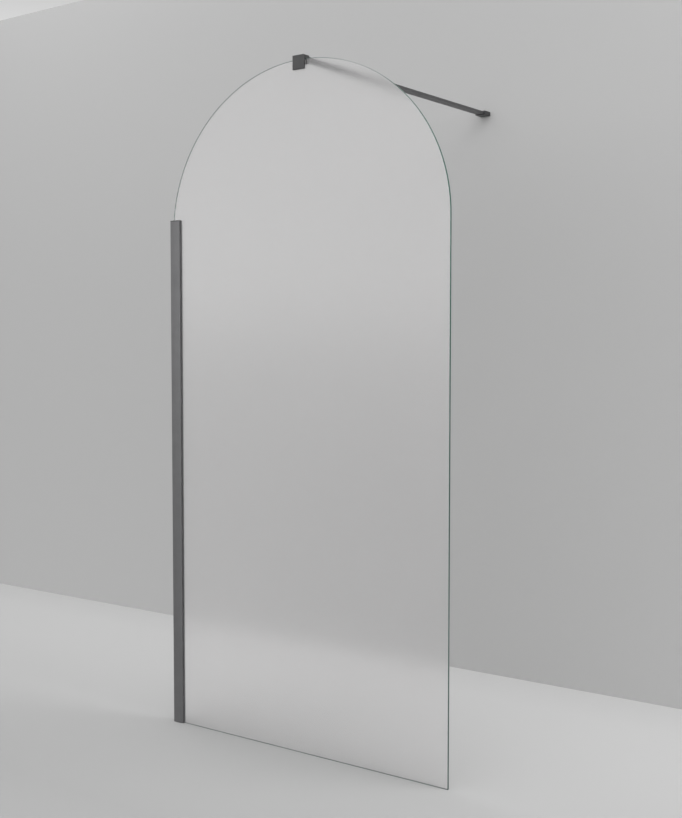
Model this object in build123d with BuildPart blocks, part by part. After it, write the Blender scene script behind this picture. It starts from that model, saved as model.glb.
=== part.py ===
from build123d import *
import os

# Walk-in shower screen: a flat frosted glass panel with an arched top, held by a wall profile
# along one side and by a straight bar that runs back to the wall behind.
#
# Millimetres. +X runs along the panel from the wall profile to the free edge, +Y runs back along
# the bar to the wall behind, +Z is up. The origin is on the wall face of the profile, at floor
# level, in the middle of the glass thickness.

# Glass panel
glass_width = 1000.0
glass_height = 2000.0
glass_thickness = 6.0
arch_rise = 466.0
glass_arris = 0.6

# Wall profile, an aluminium channel with crowned faces. Its rear wing is shorter than the front
# one, so that it doesn't show through the glass.
profile_width = 38.0
rear_wing_width = 31.0
profile_height = 1571.0
profile_edge_depth = 21.0
profile_crown = 1.2
profile_wall = 1.8
profile_web = 2.5
profile_corner_radius = 0.5
cap_thickness = 3.0
cap_slot_gap = 0.4
peg_radius = 0.8
peg_gap = 0.05
peg_length = 6.0

# Holes for the screws that go through the profile's web into the side wall
countersink_angle = 90.0
wall_screw_radius = 2.5
wall_screw_head_radius = 4.4
wall_screw_end_distance = 65.0
wall_screw_inner_spacing = 480.0

# Glass carrier, the inner channel that grips the glass and slides in the wall profile
slide_gap = 0.3
web_gap = 0.5
glass_travel = 12.0
carrier_wall = 1.5
carrier_web = 1.5
carrier_mouth_inset = 1.0
glass_edge_gap = 0.5
lip_width = 1.2
lip_glass_gap = 0.5
front_seal_length = 10.0
rear_seal_length = 6.0
seal_heel_gap = 1.5
seal_barb_length = 2.3

# Locking screws between the wall profile and the carrier, on the shower side
lock_screw_count = 3
lock_screw_spacing = 500.0
lock_screw_radius = 1.95
lock_hole_gap = 0.15
lock_slot_gap = 0.3
lock_screw_from_mouth = 10.8
lock_head_radius = 3.5
lock_head_height = 2.2
lock_head_bevel = 0.7
lock_drive_size = 2.5
lock_drive_depth = 1.4
lock_tip_length = 0.4
spot_face_depth = 0.4
cup_radius = 4.8
cup_thickness = 1.0
cover_wall = 0.8
cover_gap = 0.2
cover_bevel = 1.2
nut_size = 7.0
nut_thickness = 2.2
nut_gap = 0.05
slip_gap = 0.1

# Glass clamp at the top of the arch
clamp_width = 40.0
clamp_height = 40.0
clamp_front_depth = 8.3
clamp_rear_depth = 9.0
clamp_rear_height = 24.6
clamp_top_wall = 1.6
clamp_edge_radius = 0.8
pad_thickness = 0.9
pad_gap = 0.1
pad_margin = 2.0
edge_pad_thickness = 0.8
edge_pad_gap = 0.2
plate_thickness = 2.0
plate_travel = 1.2
plate_end_gap = 0.3
plate_margin = 3.0
plate_height = 11.0
plate_drop = 2.4
clamp_screw_radius = 2.5
clamp_screw_length = 10.0
clamp_screw_spacing = 24.0
clamp_screw_socket = 2.5
clamp_screw_socket_depth = 3.0
thread_gap = 0.05
screw_end_chamfer = 0.4

# Support bar and the bracket on the wall behind
wall_distance = 1061.0
bar_width = 28.0
bar_height = 9.0
bar_edge_radius = 0.5
bar_fit_gap = 0.15
bar_end_gap = 1.0
bar_socket_depth = 11.0
bar_screw_radius = 2.0
bar_screw_length = 8.0
bar_screw_socket = 2.0
bar_screw_socket_depth = 1.2
bracket_width = 38.0
bracket_depth = 40.0
bracket_height = 14.0
bracket_floor = 6.0
bracket_edge_radius = 0.8
bracket_bar_gap = 8.0
bracket_screw_from_front = 6.0
bracket_screw_spacing = 8.0
bracket_screw_recess = 0.2
bracket_wall_screw_radius = 2.25
bracket_wall_screw_head_radius = 4.2
bracket_wall_screw_spacing = 16.0

# Places worked out from the sizes above: glass and wall profile
half_glass = glass_thickness / 2
profile_half = profile_edge_depth / 2
crown_half = profile_half + profile_crown
cavity_half = profile_half - profile_wall
profile_middle = profile_width / 2
carrier_left = profile_web + web_gap
front_mouth = profile_width - carrier_mouth_inset
rear_mouth = rear_wing_width - carrier_mouth_inset
carrier_half = cavity_half - slide_gap
carrier_inner = carrier_half - carrier_wall
carrier_top = profile_height - slide_gap
lip_inner = half_glass + lip_glass_gap
glass_left = carrier_left + carrier_web + glass_edge_gap
glass_right = glass_left + glass_width
glass_middle = glass_left + glass_width / 2
springing_height = glass_height - arch_rise
peg_places = [(profile_middle, side * (crown_half + cavity_half) / 2) for side in (-1, 1)]
outer_screw_spacing = profile_height - 2 * wall_screw_end_distance
wall_screw_heights = [
    profile_height / 2 + side * spacing / 2
    for spacing in (outer_screw_spacing, wall_screw_inner_spacing)
    for side in (-1, 1)
]

# Places of the locking screws, from the glass outwards to the cover caps
lock_x = rear_wing_width - lock_screw_from_mouth
lock_heights = [
    profile_height / 2 + (index - (lock_screw_count - 1) / 2) * lock_screw_spacing
    for index in range(lock_screw_count)
]
nut_back = carrier_inner - slip_gap
nut_front = nut_back - nut_thickness
lock_tip = nut_front - lock_tip_length
cup_seat = crown_half - spot_face_depth
lock_head_seat = cup_seat + cup_thickness
lock_head_top = lock_head_seat + lock_head_height
cover_inner_top = lock_head_top + cover_gap
cover_radius = cup_radius + cover_gap + cover_wall

# Places in the clamp
bar_bottom = glass_height
bar_top = bar_bottom + bar_height
bar_middle = bar_bottom + bar_height / 2
clamp_top = bar_top + clamp_top_wall
clamp_bottom = clamp_top - clamp_height
clamp_front = -half_glass - clamp_front_depth
jaw_face = half_glass + pad_gap + pad_thickness
slot_roof = glass_height + edge_pad_gap + edge_pad_thickness
plate_back = jaw_face + plate_thickness
chamber_back = plate_back + plate_travel + plate_end_gap
clamp_rear = chamber_back + clamp_rear_depth
rear_block_bottom = clamp_top - clamp_rear_height
plate_top = glass_height - plate_drop
plate_bottom = plate_top - plate_height
chamber_top = plate_top + plate_end_gap
clamp_screw_height = (rear_block_bottom + chamber_top) / 2
bar_screw_y = (chamber_back + clamp_rear) / 2

# Places of the bar and the bracket
bar_front = clamp_rear - bar_socket_depth + bar_end_gap
pocket_floor = wall_distance - bracket_floor
bar_back = pocket_floor - bracket_bar_gap
bracket_front = wall_distance - bracket_depth
bracket_bottom = bar_middle - bracket_height / 2
bracket_screw_middle = bracket_front + bracket_screw_from_front + bracket_screw_spacing / 2
bracket_screw_bottom = bracket_bottom + bracket_screw_recess
bracket_screw_top = bar_bottom - slip_gap

os.makedirs("parts", exist_ok=True)


def facing_back(x, y, z):
    """A plane at this point that faces the wall behind."""
    return Plane(origin=(x, y, z), x_dir=(-1, 0, 0), z_dir=(0, 1, 0))


def facing_down(x, y, z):
    """A plane at this point that faces the floor."""
    return Plane(origin=(x, y, z), x_dir=(1, 0, 0), z_dir=(0, 0, -1))


def at_lock_screws(y):
    """Planes at this depth, one at each locking screw, that face the wall behind."""
    return [facing_back(lock_x, y, z) for z in lock_heights]


# Outline of the wall profile and of its cap, seen from above
with BuildSketch() as profile_outline:
    with BuildLine():
        Line((0, profile_half), (0, -profile_half))
        ThreePointArc(
            (0, -profile_half), (profile_middle, -crown_half), (profile_width, -profile_half)
        )
        Line((profile_width, -profile_half), (profile_width, profile_half))
        ThreePointArc(
            (profile_width, profile_half), (profile_middle, crown_half), (0, profile_half)
        )
    make_face()
    with Locations((rear_wing_width, 0)):
        Rectangle(
            profile_width, 2 * crown_half, align=(Align.MIN, Align.MIN), mode=Mode.SUBTRACT
        )
    outer_corners = profile_outline.vertices().filter_by(lambda corner: abs(corner.Y) > cavity_half)
    fillet(outer_corners, radius=profile_corner_radius)


# Wall profile: the channel that is screwed to the side wall
with BuildPart() as wall_profile:
    with BuildSketch():
        add(profile_outline.sketch)
        with Locations((profile_web, 0)):
            Rectangle(
                profile_width,
                2 * cavity_half,
                align=(Align.MIN, Align.CENTER),
                mode=Mode.SUBTRACT,
            )
    extrude(amount=profile_height)
    with Locations(
        [Plane(origin=(profile_web, 0, z), z_dir=(1, 0, 0)) for z in wall_screw_heights]
    ):
        CounterSinkHole(
            wall_screw_radius,
            wall_screw_head_radius,
            depth=profile_web,
            counter_sink_angle=countersink_angle,
        )
    with Locations(at_lock_screws(crown_half)):
        CounterBoreHole(
            lock_screw_radius + lock_hole_gap,
            cover_radius + slip_gap,
            spot_face_depth,
            depth=crown_half - cavity_half,
        )
    with BuildSketch(Plane.XY.offset(profile_height)):
        with Locations(peg_places):
            Circle(peg_radius + peg_gap)
    extrude(amount=-peg_length - slip_gap, mode=Mode.SUBTRACT)
wall_profile.part.label = "wall_profile"
export_step(wall_profile.part, "parts/wall_profile.step")


# Top cap: closes the channel round the glass and is held by two pegs
with BuildPart() as profile_top_cap:
    with BuildSketch(Plane.XY.offset(profile_height)):
        add(profile_outline.sketch)
        with Locations((glass_left - cap_slot_gap, 0)):
            Rectangle(
                profile_width,
                glass_thickness + 2 * cap_slot_gap,
                align=(Align.MIN, Align.CENTER),
                mode=Mode.SUBTRACT,
            )
    extrude(amount=cap_thickness)
    with BuildSketch(Plane.XY.offset(profile_height)):
        with Locations(peg_places):
            Circle(peg_radius)
    extrude(amount=-peg_length)
profile_top_cap.part.label = "profile_top_cap"
export_step(profile_top_cap.part, "parts/profile_top_cap.step")


# Glass carrier: the inner channel, with lips at its mouth and a slot at each locking screw
with BuildPart() as glass_carrier:
    with BuildSketch():
        with BuildLine():
            Polyline(
                (front_mouth, -lip_inner),
                (front_mouth, -carrier_half),
                (carrier_left, -carrier_half),
                (carrier_left, carrier_half),
                (rear_mouth, carrier_half),
                (rear_mouth, lip_inner),
                (rear_mouth - lip_width, lip_inner),
                (rear_mouth - lip_width, carrier_inner),
                (carrier_left + carrier_web, carrier_inner),
                (carrier_left + carrier_web, -carrier_inner),
                (front_mouth - lip_width, -carrier_inner),
                (front_mouth - lip_width, -lip_inner),
                close=True,
            )
        make_face()
    extrude(amount=carrier_top)
    slot_planes = [facing_back(lock_x - glass_travel / 2, carrier_half, z) for z in lock_heights]
    with BuildSketch(*slot_planes):
        SlotCenterToCenter(glass_travel, 2 * (lock_screw_radius + lock_slot_gap))
    extrude(amount=-carrier_wall, mode=Mode.SUBTRACT)
glass_carrier.part.label = "glass_carrier"
export_step(glass_carrier.part, "parts/glass_carrier.step")


# Glazing seals: rubber wedges behind the carrier's lips on each side of the glass
for seal_name, side, mouth, seal_length in (
    ("front_glazing_seal", -1, front_mouth, front_seal_length),
    ("rear_glazing_seal", 1, rear_mouth, rear_seal_length),
):
    with BuildPart() as glazing_seal:
        with BuildSketch():
            with BuildLine():
                Polyline(
                    (mouth, side * half_glass),
                    (mouth, side * lip_inner),
                    (mouth - lip_width, side * lip_inner),
                    (mouth - lip_width, side * carrier_inner),
                    (mouth - lip_width - seal_barb_length, side * carrier_inner),
                    (mouth - seal_length, side * (carrier_inner - seal_heel_gap)),
                    (mouth - seal_length, side * half_glass),
                    close=True,
                )
            make_face()
        extrude(amount=carrier_top)
    glazing_seal.part.label = seal_name
    export_step(glazing_seal.part, f"parts/{seal_name}.step")


# Locking screws, each with a nut in the carrier, a cup washer and a cover cap
with BuildPart() as profile_lock_screws:
    with BuildSketch(*at_lock_screws(lock_tip)):
        Circle(lock_screw_radius)
    extrude(amount=lock_head_seat - lock_tip)
    with BuildSketch(*at_lock_screws(lock_head_seat)):
        Circle(lock_head_radius)
    extrude(amount=lock_head_height)
    chamfer(profile_lock_screws.edges().group_by(Axis.Y)[-1], length=lock_head_bevel)
    with BuildSketch(*at_lock_screws(lock_head_top)):
        RegularPolygon(lock_drive_size / 2, 6, major_radius=False)
    extrude(amount=-lock_drive_depth, mode=Mode.SUBTRACT)
profile_lock_screws.part.label = "profile_lock_screws"
export_step(profile_lock_screws.part, "parts/profile_lock_screws.step")

with BuildPart() as lock_nuts:
    with BuildSketch(*at_lock_screws(nut_front)):
        Rectangle(nut_size, nut_size)
        Circle(lock_screw_radius + nut_gap, mode=Mode.SUBTRACT)
    extrude(amount=nut_thickness)
lock_nuts.part.label = "lock_nuts"
export_step(lock_nuts.part, "parts/lock_nuts.step")

with BuildPart() as lock_screw_cups:
    with BuildSketch(*at_lock_screws(cup_seat)):
        Circle(cup_radius)
        Circle(lock_screw_radius + lock_hole_gap, mode=Mode.SUBTRACT)
    extrude(amount=cup_thickness)
lock_screw_cups.part.label = "lock_screw_cups"
export_step(lock_screw_cups.part, "parts/lock_screw_cups.step")

with BuildPart() as lock_screw_covers:
    with BuildSketch(*at_lock_screws(cup_seat)):
        Circle(cover_radius)
    extrude(amount=cover_inner_top + cover_wall - cup_seat)
    chamfer(lock_screw_covers.edges().group_by(Axis.Y)[-1], length=cover_bevel)
    with BuildSketch(*at_lock_screws(cup_seat)):
        Circle(cover_radius - cover_wall)
    extrude(amount=cover_inner_top - cup_seat, mode=Mode.SUBTRACT)
lock_screw_covers.part.label = "lock_screw_covers"
export_step(lock_screw_covers.part, "parts/lock_screw_covers.step")


# Glass panel: straight sides, a half-elliptical arch and a ground arris all round
with BuildPart() as glass_panel:
    with BuildSketch(Plane.XZ):
        with BuildLine():
            Polyline(
                (glass_left, springing_height),
                (glass_left, 0),
                (glass_right, 0),
                (glass_right, springing_height),
            )
            EllipticalCenterArc(
                (glass_middle, springing_height), glass_width / 2, arch_rise, arc_size=180
            )
        make_face()
    extrude(amount=half_glass, both=True)
    rims = glass_panel.edges().group_by(Axis.Y)
    chamfer(rims[0] + rims[-1], length=glass_arris)
glass_panel.part.label = "glass_panel"
export_step(glass_panel.part, "parts/glass_panel.step")


# Clamp body: a front jaw, a bridge over the glass and a rear block that takes the bar
with BuildPart() as clamp_body:
    with BuildSketch(Plane.YZ.offset(glass_middle)):
        with BuildLine():
            Polyline(
                (clamp_front, clamp_bottom),
                (clamp_front, clamp_top),
                (clamp_rear, clamp_top),
                (clamp_rear, rear_block_bottom),
                (chamber_back, rear_block_bottom),
                (chamber_back, chamber_top),
                (jaw_face, chamber_top),
                (jaw_face, slot_roof),
                (-jaw_face, slot_roof),
                (-jaw_face, clamp_bottom),
                close=True,
            )
        make_face()
    extrude(amount=clamp_width / 2, both=True)
    by_depth = clamp_body.edges().group_by(Axis.Y)
    top_sides = clamp_body.edges().group_by(Axis.Z)[-1].filter_by(Axis.Y)
    fillet(by_depth[0] + by_depth[-1] + top_sides, radius=clamp_edge_radius)
    with BuildSketch(facing_back(glass_middle, clamp_rear, bar_middle)):
        Rectangle(bar_width + 2 * bar_fit_gap, bar_height + 2 * bar_fit_gap)
    extrude(amount=-bar_socket_depth, mode=Mode.SUBTRACT)
    with Locations(
        [
            facing_back(glass_middle + side * clamp_screw_spacing / 2, clamp_rear, clamp_screw_height)
            for side in (-1, 1)
        ]
    ):
        Hole(clamp_screw_radius + thread_gap, depth=clamp_rear_depth)
    with Locations(facing_down(glass_middle, bar_screw_y, rear_block_bottom)):
        Hole(bar_screw_radius + thread_gap, depth=bar_middle - rear_block_bottom)
clamp_body.part.label = "clamp_body"
export_step(clamp_body.part, "parts/clamp_body.step")


# Pads and pressure plate: the clamp touches the glass only through these
with BuildPart() as clamp_front_pad:
    with BuildSketch(facing_back(glass_middle, -jaw_face, clamp_bottom)):
        with Locations((0, pad_margin)):
            Rectangle(
                clamp_width - 2 * pad_margin,
                plate_top - clamp_bottom - pad_margin,
                align=(Align.CENTER, Align.MIN),
            )
    extrude(amount=pad_thickness)
clamp_front_pad.part.label = "clamp_front_pad"
export_step(clamp_front_pad.part, "parts/clamp_front_pad.step")

with BuildPart() as clamp_edge_pad:
    with BuildSketch(Plane.XY.offset(slot_roof)):
        with Locations((glass_middle, 0)):
            Rectangle(clamp_width - 2 * pad_margin, glass_thickness)
    extrude(amount=-edge_pad_thickness)
clamp_edge_pad.part.label = "clamp_edge_pad"
export_step(clamp_edge_pad.part, "parts/clamp_edge_pad.step")

with BuildPart() as clamp_pressure_plate:
    with BuildSketch(facing_back(glass_middle, jaw_face, (plate_top + plate_bottom) / 2)):
        Rectangle(clamp_width - 2 * plate_margin, plate_height)
    extrude(amount=plate_thickness)
clamp_pressure_plate.part.label = "clamp_pressure_plate"
export_step(clamp_pressure_plate.part, "parts/clamp_pressure_plate.step")

with BuildPart() as clamp_rear_pad:
    with BuildSketch(facing_back(glass_middle, jaw_face, (plate_top + plate_bottom) / 2)):
        Rectangle(clamp_width - 2 * plate_margin, plate_height)
    extrude(amount=-pad_thickness)
clamp_rear_pad.part.label = "clamp_rear_pad"
export_step(clamp_rear_pad.part, "parts/clamp_rear_pad.step")


# Clamp screws: two socket screws that push the pressure plate against the glass
for screw_name, side in (("clamp_screw_left", -1), ("clamp_screw_right", 1)):
    screw_x = glass_middle + side * clamp_screw_spacing / 2
    with BuildPart() as clamp_screw:
        with BuildSketch(facing_back(screw_x, plate_back, clamp_screw_height)):
            Circle(clamp_screw_radius)
        extrude(amount=clamp_screw_length)
        chamfer(clamp_screw.edges().filter_by(GeomType.CIRCLE), length=screw_end_chamfer)
        with BuildSketch(
            facing_back(screw_x, plate_back + clamp_screw_length, clamp_screw_height)
        ):
            RegularPolygon(clamp_screw_socket / 2, 6, major_radius=False)
        extrude(amount=-clamp_screw_socket_depth, mode=Mode.SUBTRACT)
    clamp_screw.part.label = screw_name
    export_step(clamp_screw.part, f"parts/{screw_name}.step")


# Bar screw: holds the bar in the clamp from below
with BuildPart() as bar_lock_screw:
    with BuildSketch(facing_down(glass_middle, bar_screw_y, bar_bottom)):
        Circle(bar_screw_radius)
    extrude(amount=bar_screw_length)
    chamfer(bar_lock_screw.edges().filter_by(GeomType.CIRCLE), length=screw_end_chamfer)
    with BuildSketch(facing_down(glass_middle, bar_screw_y, bar_bottom - bar_screw_length)):
        RegularPolygon(bar_screw_socket / 2, 6, major_radius=False)
    extrude(amount=-bar_screw_socket_depth, mode=Mode.SUBTRACT)
bar_lock_screw.part.label = "bar_lock_screw"
export_step(bar_lock_screw.part, "parts/bar_lock_screw.step")


# Support bar: a flat bar from the clamp to the bracket
with BuildPart() as support_bar:
    with BuildSketch(facing_back(glass_middle, bar_front, bar_middle)):
        Rectangle(bar_width, bar_height)
    extrude(amount=bar_back - bar_front)
    fillet(support_bar.edges().filter_by(Axis.Y), radius=bar_edge_radius)
support_bar.part.label = "support_bar"
export_step(support_bar.part, "parts/support_bar.step")


# Wall bracket: a block with a pocket for the bar, screwed to the wall through the pocket's floor
with BuildPart() as wall_bracket:
    with BuildSketch(facing_back(glass_middle, bracket_front, bar_middle)):
        Rectangle(bracket_width, bracket_height)
    extrude(amount=bracket_depth)
    front_rim = wall_bracket.edges().group_by(Axis.Y)[0]
    long_edges = wall_bracket.edges().filter_by(Axis.Y)
    fillet(front_rim + long_edges, radius=bracket_edge_radius)
    with BuildSketch(facing_back(glass_middle, bracket_front, bar_middle)):
        Rectangle(bar_width + 2 * bar_fit_gap, bar_height + 2 * bar_fit_gap)
    extrude(amount=bracket_depth - bracket_floor, mode=Mode.SUBTRACT)
    with Locations(
        [
            Plane(
                origin=(
                    glass_middle + side * bracket_wall_screw_spacing / 2,
                    pocket_floor,
                    bar_middle,
                ),
                z_dir=(0, -1, 0),
            )
            for side in (-1, 1)
        ]
    ):
        CounterSinkHole(
            bracket_wall_screw_radius,
            bracket_wall_screw_head_radius,
            depth=bracket_floor,
            counter_sink_angle=countersink_angle,
        )
    with Locations(facing_down(glass_middle, bracket_screw_middle, bracket_bottom)):
        with GridLocations(0, bracket_screw_spacing, 1, 2):
            Hole(bar_screw_radius + thread_gap, depth=bar_middle - bracket_bottom)
wall_bracket.part.label = "wall_bracket"
export_step(wall_bracket.part, "parts/wall_bracket.step")


# Bracket screws: two short socket screws that grip the bar from below
with BuildPart() as bracket_lock_screws:
    with BuildSketch(facing_down(glass_middle, bracket_screw_middle, bracket_screw_top)):
        with GridLocations(0, bracket_screw_spacing, 1, 2):
            Circle(bar_screw_radius)
    extrude(amount=bracket_screw_top - bracket_screw_bottom)
    chamfer(bracket_lock_screws.edges().group_by(Axis.Z)[-1], length=screw_end_chamfer)
    with BuildSketch(facing_down(glass_middle, bracket_screw_middle, bracket_screw_bottom)):
        with GridLocations(0, bracket_screw_spacing, 1, 2):
            RegularPolygon(bar_screw_socket / 2, 6, major_radius=False)
    extrude(amount=-bar_screw_socket_depth, mode=Mode.SUBTRACT)
bracket_lock_screws.part.label = "bracket_lock_screws"
export_step(bracket_lock_screws.part, "parts/bracket_lock_screws.step")
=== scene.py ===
import math

import bmesh
import bpy
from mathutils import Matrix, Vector


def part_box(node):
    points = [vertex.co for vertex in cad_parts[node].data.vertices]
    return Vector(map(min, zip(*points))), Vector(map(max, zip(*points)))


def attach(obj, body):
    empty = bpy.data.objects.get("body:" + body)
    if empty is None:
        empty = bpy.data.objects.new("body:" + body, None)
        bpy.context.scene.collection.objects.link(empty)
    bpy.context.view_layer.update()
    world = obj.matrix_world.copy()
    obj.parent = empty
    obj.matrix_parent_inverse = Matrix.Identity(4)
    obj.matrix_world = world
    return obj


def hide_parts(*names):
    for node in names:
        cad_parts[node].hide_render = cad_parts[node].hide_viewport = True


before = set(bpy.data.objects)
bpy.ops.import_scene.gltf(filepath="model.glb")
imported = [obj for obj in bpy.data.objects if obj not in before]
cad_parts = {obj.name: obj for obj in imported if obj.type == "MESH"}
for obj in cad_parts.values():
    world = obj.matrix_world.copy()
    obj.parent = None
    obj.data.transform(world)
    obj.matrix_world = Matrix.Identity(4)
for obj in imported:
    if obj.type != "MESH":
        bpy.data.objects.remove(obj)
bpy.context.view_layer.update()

# Camera, fitted to the photograph
camera_place = Vector((2.6494, -2.7244, 1.1965))
camera_turn = math.radians(36.30)
camera_tilt = math.radians(3.138)
camera_lens = 53.0

# Room behind the panel, which is only a stage
wall_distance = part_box("wall_bracket")[1].y
wall_height = 2.75
stage_reach = 7.0
wall_tone = 0.46

# Floor, whose grey changes evenly from one place on Y to another: painted shade, darker in front
floor_painted_shade_front_tone = 0.378
floor_painted_shade_back_tone = 0.52
# Places on Y where the floor's painted shade begins and ends
painted_shade_front_y = -0.6
painted_shade_back_y = 0.8

# Soft light of the world: heights, as the sine of the angle above the horizon, and their brightness
sky_steps = ((0.0, 0.5), (0.03, 2.5), (0.12, 1.46), (0.3, 0.66), (0.6, 0.47), (1.0, 1.75))

# It is strongest towards the front right, and changes between these two cosines to that direction
bright_side = Vector((1.0, -1.0, 0.0)).normalized()
weak_cosine = -0.3
weak_strength = 0.75
bright_cosine = 0.6
bright_strength = 1.5

# Two square lamps above the panel, each turned to a point on the floor
lamp_size = 1.8
lamp_depth = 0.4
lamp_height = 4.0
aim_depth = 0.1
left_lamp_x = -1.8
left_aim_x = 0.2
left_lamp_power = 23.0
right_lamp_x = 2.8
right_aim_x = 0.8
right_lamp_power = 55.0

# Gunmetal tones of the upright pieces, the bar and the blocks
upright_tone = 0.172
bar_tone = 0.13
block_tone = 0.088

# Scale of the metal's grain along each axis: a small number draws it out into long lines
grain_up = (1.0, 1.0, 0.02)
grain_back = (1.0, 0.02, 1.0)
grain_even = (1.0, 1.0, 1.0)

# The middle part of a noise, which is spread over the whole of a range
noise_low = 0.3
noise_high = 0.7

# Glass
glass_height = 2.0
glass_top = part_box("glass_panel")[0].z + glass_height
arch_rise = 0.466
arch_steps = 144
arris = 0.0006
arris_steps = 3
glass_index = 1.5
glass_green = (0.6, 0.85, 0.75, 1.0)
green_density = 10.0


def new_material(name):
    """An empty node material, its node tree and its output node."""
    material = bpy.data.materials.new(name)
    material.use_nodes = True
    tree = material.node_tree
    tree.nodes.clear()
    output = tree.nodes.new("ShaderNodeOutputMaterial")
    return material, tree, output


def principled(name, **values):
    """A material with one Principled shader. Keyword names are its sockets, with _ for a space."""
    material, tree, output = new_material(name)
    shader = tree.nodes.new("ShaderNodeBsdfPrincipled")
    for key, value in values.items():
        shader.inputs[key.replace("_", " ")].default_value = value
    tree.links.new(shader.outputs[0], output.inputs["Surface"])
    return material, tree, shader


def object_noise(tree, scale, stretch=(1.0, 1.0, 1.0), detail=2.0):
    """Noise in object space, in metres, with its place scaled along each axis."""
    place = tree.nodes.new("ShaderNodeTexCoord")
    mapping = tree.nodes.new("ShaderNodeMapping")
    mapping.inputs["Scale"].default_value = stretch
    noise = tree.nodes.new("ShaderNodeTexNoise")
    noise.inputs["Scale"].default_value = scale
    noise.inputs["Detail"].default_value = detail
    tree.links.new(place.outputs["Object"], mapping.inputs["Vector"])
    tree.links.new(mapping.outputs["Vector"], noise.inputs["Vector"])
    return noise


def map_range(tree, value, from_low, from_high, to_low, to_high):
    """A value brought from one range to another, and held at the ends of the second."""
    node = tree.nodes.new("ShaderNodeMapRange")
    node.inputs["From Min"].default_value = from_low
    node.inputs["From Max"].default_value = from_high
    node.inputs["To Min"].default_value = to_low
    node.inputs["To Max"].default_value = to_high
    tree.links.new(value, node.inputs["Value"])
    return node.outputs["Result"]


def roughen(tree, shader, noise, low, high):
    """Roughness that follows the noise from low to high."""
    roughness = map_range(tree, noise.outputs["Fac"], noise_low, noise_high, low, high)
    tree.links.new(roughness, shader.inputs["Roughness"])


def bump(tree, shader, noise, depth):
    """A bump of this depth in metres from noise."""
    node = tree.nodes.new("ShaderNodeBump")
    node.inputs["Strength"].default_value = 1.0
    node.inputs["Distance"].default_value = depth
    tree.links.new(noise.outputs["Fac"], node.inputs["Height"])
    tree.links.new(node.outputs["Normal"], shader.inputs["Normal"])


def cloud_colour(tree, shader, scale, tone, change, blue):
    """A metal grey in soft clouds, this much either side of its tone and this much bluer."""
    noise = object_noise(tree, scale=scale)
    ramp = tree.nodes.new("ShaderNodeValToRGB")
    ramp.color_ramp.elements[0].position = noise_low
    ramp.color_ramp.elements[0].color = (tone - change, tone - change, tone - change + blue, 1.0)
    ramp.color_ramp.elements[1].position = noise_high
    ramp.color_ramp.elements[1].color = (tone + change, tone + change, tone + change + blue, 1.0)
    tree.links.new(noise.outputs["Fac"], ramp.inputs["Fac"])
    tree.links.new(ramp.outputs["Color"], shader.inputs["Base Color"])


def gunmetal(name, tone, stretch):
    """Dark satin metal of this tone, with a fine grain."""
    material, tree, shader = principled(name, Metallic=0.85)
    cloud_colour(tree, shader, scale=40.0, tone=tone, change=0.04 * tone, blue=0.02 * tone)
    grain = object_noise(tree, scale=900.0, stretch=stretch)
    roughen(tree, shader, grain, low=0.38, high=0.48)
    bump(tree, shader, grain, depth=0.000006)
    return material


def steel():
    """Plain machined steel of the screws, nuts and other small fittings."""
    material, tree, shader = principled("stainless_steel", Metallic=1.0)
    cloud_colour(tree, shader, scale=120.0, tone=0.54, change=0.04, blue=0.01)
    grain = object_noise(tree, scale=2000.0)
    roughen(tree, shader, grain, low=0.22, high=0.34)
    bump(tree, shader, grain, depth=0.000004)
    return material


def rubber():
    """Matt black rubber of the glazing seals."""
    material, tree, shader = principled("black_seal", Base_Color=(0.045, 0.045, 0.045, 1.0))
    grain = object_noise(tree, scale=1500.0)
    roughen(tree, shader, grain, low=0.55, high=0.75)
    bump(tree, shader, grain, depth=0.00001)
    return material


def clear_pad():
    """Cloudy plastic of the pads between the clamp and the glass."""
    material, tree, shader = principled(
        "clear_pad",
        Base_Color=(0.6, 0.62, 0.62, 1.0),
        IOR=1.45,
        Transmission_Weight=0.5,
    )
    roughen(tree, shader, object_noise(tree, scale=1200.0), low=0.4, high=0.55)
    return material


def green_body(tree):
    """The green of the glass itself, which shows where light goes a long way through it."""
    body = tree.nodes.new("ShaderNodeVolumeAbsorption")
    body.inputs["Color"].default_value = glass_green
    body.inputs["Density"].default_value = green_density
    output = tree.nodes["Material Output"]
    tree.links.new(body.outputs[0], output.inputs["Volume"])


def frosted_face():
    """Satin-etched glass: light goes through, spread by a fine rough surface."""
    material, tree, shader = principled(
        "frosted_glass_face",
        Base_Color=(1.0, 0.975, 0.985, 1.0),
        IOR=glass_index,
        Transmission_Weight=0.94,
    )
    roughen(tree, shader, object_noise(tree, scale=2500.0, detail=1.0), low=0.188, high=0.192)
    green_body(tree)
    return material


def glass_rim():
    """Polished edge of the glass, dark green where little light comes through it."""
    material, tree, shader = principled(
        "glass_edge",
        Base_Color=(0.02, 0.12, 0.09, 1.0),
        IOR=glass_index,
        Transmission_Weight=0.3,
    )
    roughen(tree, shader, object_noise(tree, scale=60.0, detail=3.0), low=0.10, high=0.16)
    green_body(tree)
    return material


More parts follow.
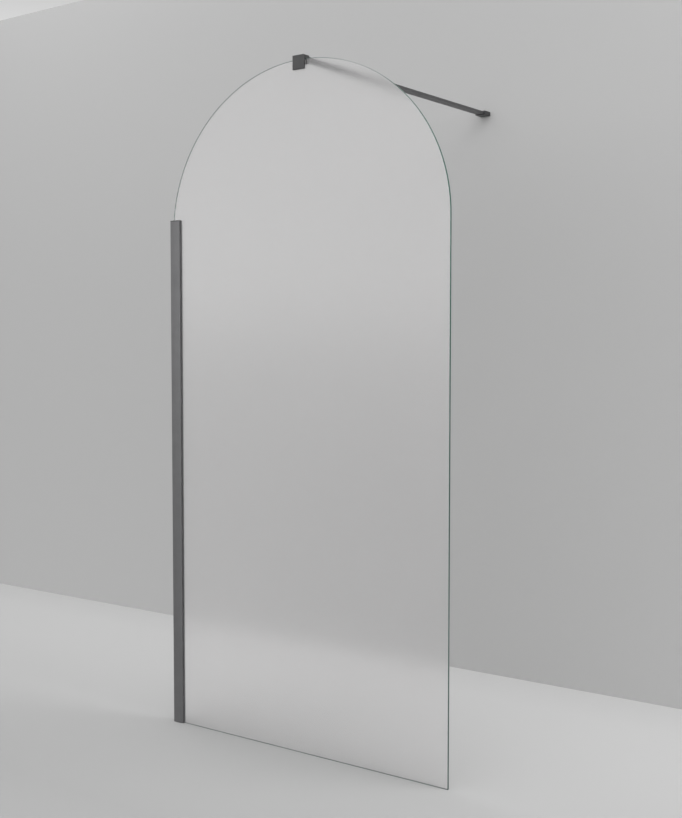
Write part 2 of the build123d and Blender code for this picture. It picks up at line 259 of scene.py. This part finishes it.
def one_sided(name, tone, shaded_front_tone=None):
    """A plain matt stage grey that shows only from its front. It may carry painted shade, which changes it
    evenly towards the front.
    """
    material, tree, output = new_material(name)
    shader = tree.nodes.new("ShaderNodeBsdfDiffuse")
    shader.inputs["Color"].default_value = (tone, tone, tone, 1.0)
    # Painted shade: the grey goes evenly along Y, from the front tone in front to the plain tone behind
    if shaded_front_tone is not None:
        place = tree.nodes.new("ShaderNodeTexCoord")
        split = tree.nodes.new("ShaderNodeSeparateXYZ")
        tree.links.new(place.outputs["Object"], split.inputs[0])
        grey = map_range(tree, split.outputs["Y"], painted_shade_front_y, painted_shade_back_y, shaded_front_tone, tone)
        tree.links.new(grey, shader.inputs["Color"])
    clear = tree.nodes.new("ShaderNodeBsdfTransparent")
    mix = tree.nodes.new("ShaderNodeMixShader")
    side = tree.nodes.new("ShaderNodeNewGeometry")
    tree.links.new(side.outputs["Backfacing"], mix.inputs[0])
    tree.links.new(shader.outputs[0], mix.inputs[1])
    tree.links.new(clear.outputs[0], mix.inputs[2])
    tree.links.new(mix.outputs[0], output.inputs["Surface"])
    return material


def add_object(name, bm, *materials):
    """A mesh object from bmesh data."""
    mesh = bpy.data.meshes.new(name)
    bm.to_mesh(mesh)
    bm.free()
    for material in materials:
        mesh.materials.append(material)
    made = bpy.data.objects.new(name, mesh)
    bpy.context.scene.collection.objects.link(made)
    return made


def stage_plane(name, corners, material):
    """A four-cornered stage surface, which faces where its corners run anticlockwise."""
    bm = bmesh.new()
    bm.faces.new([bm.verts.new(corner) for corner in corners])
    add_object(name, bm, material)


def arch_outline(inset):
    """Points round the glass, this far inside its edge, anticlockwise seen from the front."""
    low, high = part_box("glass_panel")
    middle = (low.x + high.x) / 2
    half_width = (high.x - low.x) / 2 - inset
    springing = glass_top - arch_rise
    points = [(low.x + inset, low.z + inset), (high.x - inset, low.z + inset)]
    for step in range(arch_steps + 1):
        angle = math.pi * step / arch_steps
        x = middle + half_width * math.cos(angle)
        z = springing + (arch_rise - inset) * math.sin(angle)
        points.append((x, z))
    return points


def edge_rings():
    """How far inside the edge and where on Y each outline of the glass lies, from front to back."""
    low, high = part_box("glass_panel")
    half = (high.y - low.y) / 2
    back = []
    for step in range(arris_steps + 1):
        turn = math.pi / 2 * step / arris_steps
        back.insert(0, (arris * (1 - math.sin(turn)), half - arris + arris * math.cos(turn)))
    front = [(inset, -depth) for inset, depth in reversed(back)]
    return front + back


def build_glass(face_material, rim_material):
    """The glass panel: two etched faces and a polished rim with rounded arrises."""
    bm = bmesh.new()
    loops = [[bm.verts.new((x, depth, z)) for x, z in arch_outline(inset)] for inset, depth in edge_rings()]
    bm.faces.new(loops[0])
    bm.faces.new(list(reversed(loops[-1])))
    count = len(loops[0])
    for near, far in zip(loops, loops[1:]):
        for index in range(count):
            following = (index + 1) % count
            quad = bm.faces.new((near[index], far[index], far[following], near[following]))
            # The rim's material is the second of the two
            quad.material_index = 1
            quad.smooth = True
    bmesh.ops.recalc_face_normals(bm, faces=bm.faces)
    glass = add_object("glass_panel_body", bm, face_material, rim_material)
    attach(glass, "glass")
    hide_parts("glass_panel")


def build_lamp(name, x, aim_x, power):
    """A square lamp above the panel, which the camera doesn't see as such."""
    place = Vector((x, lamp_depth, lamp_height))
    aim = Vector((aim_x, aim_depth, 0.0))
    light = bpy.data.lights.new(name, "AREA")
    light.shape = "SQUARE"
    light.size = lamp_size
    light.energy = power
    made = bpy.data.objects.new(name, light)
    made.location = place
    made.rotation_euler = (aim - place).to_track_quat("-Z", "Y").to_euler()
    made.visible_camera = False
    bpy.context.scene.collection.objects.link(made)


def build_world():
    """Soft light from all round, which changes with height and is stronger from the bright side."""
    world = bpy.data.worlds.new("studio")
    world.use_nodes = True
    bpy.context.scene.world = world
    tree = world.node_tree
    background = tree.nodes["Background"]
    place = tree.nodes.new("ShaderNodeTexCoord")
    split = tree.nodes.new("ShaderNodeSeparateXYZ")
    ramp = tree.nodes.new("ShaderNodeValToRGB")
    while len(ramp.color_ramp.elements) < len(sky_steps):
        ramp.color_ramp.elements.new(0.5)
    for element, (height, level) in zip(ramp.color_ramp.elements, sky_steps):
        element.position = height
        element.color = (level, level, level, 1.0)
    tree.links.new(place.outputs["Generated"], split.inputs[0])
    tree.links.new(split.outputs["Z"], ramp.inputs["Fac"])
    tree.links.new(ramp.outputs["Color"], background.inputs["Color"])
    side = tree.nodes.new("ShaderNodeVectorMath")
    side.operation = "DOT_PRODUCT"
    side.inputs[1].default_value = bright_side
    tree.links.new(place.outputs["Generated"], side.inputs[0])
    cosine = side.outputs["Value"]
    strength = map_range(tree, cosine, weak_cosine, bright_cosine, weak_strength, bright_strength)
    tree.links.new(strength, background.inputs["Strength"])


def build_camera():
    """The camera, where it stood for the photograph."""
    data = bpy.data.cameras.new("camera")
    data.lens = camera_lens
    made = bpy.data.objects.new("camera", data)
    made.location = camera_place
    made.rotation_euler = (math.pi / 2 - camera_tilt, 0.0, camera_turn)
    bpy.context.scene.collection.objects.link(made)
    bpy.context.scene.camera = made


def dress(material, *nodes):
    """Gives CAD nodes their material."""
    for node in nodes:
        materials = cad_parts[node].data.materials
        materials.clear()
        materials.append(material)


bpy.context.scene.view_settings.view_transform = "Standard"
build_camera()

dress(gunmetal("gunmetal_upright", upright_tone, grain_up), "wall_profile", "glass_carrier")
dress(gunmetal("gunmetal_bar", bar_tone, grain_back), "support_bar")
dress(
    gunmetal("gunmetal_block", block_tone, grain_even),
    "profile_top_cap",
    "lock_screw_covers",
    "clamp_body",
    "wall_bracket",
)
dress(rubber(), "front_glazing_seal", "rear_glazing_seal")
dress(clear_pad(), "clamp_front_pad", "clamp_edge_pad", "clamp_rear_pad")
dress(
    steel(),
    "profile_lock_screws",
    "lock_screw_cups",
    "lock_nuts",
    "clamp_pressure_plate",
    "clamp_screw_left",
    "clamp_screw_right",
    "bar_lock_screw",
    "bracket_lock_screws",
)

build_glass(frosted_face(), glass_rim())

stage_plane(
    "floor",
    [
        (-stage_reach, -stage_reach, 0.0),
        (stage_reach, -stage_reach, 0.0),
        (stage_reach, stage_reach, 0.0),
        (-stage_reach, stage_reach, 0.0),
    ],
    # The floor's grey is painted shade, darker in front
    one_sided("floor_painted_shade", floor_painted_shade_back_tone, shaded_front_tone=floor_painted_shade_front_tone),
)
stage_plane(
    "wall_behind",
    [
        (-stage_reach, wall_distance, 0.0),
        (stage_reach, wall_distance, 0.0),
        (stage_reach, wall_distance, wall_height),
        (-stage_reach, wall_distance, wall_height),
    ],
    one_sided("wall_colour", wall_tone),
)
build_world()
build_lamp("left_light", left_lamp_x, left_aim_x, left_lamp_power)
build_lamp("right_light", right_lamp_x, right_aim_x, right_lamp_power)
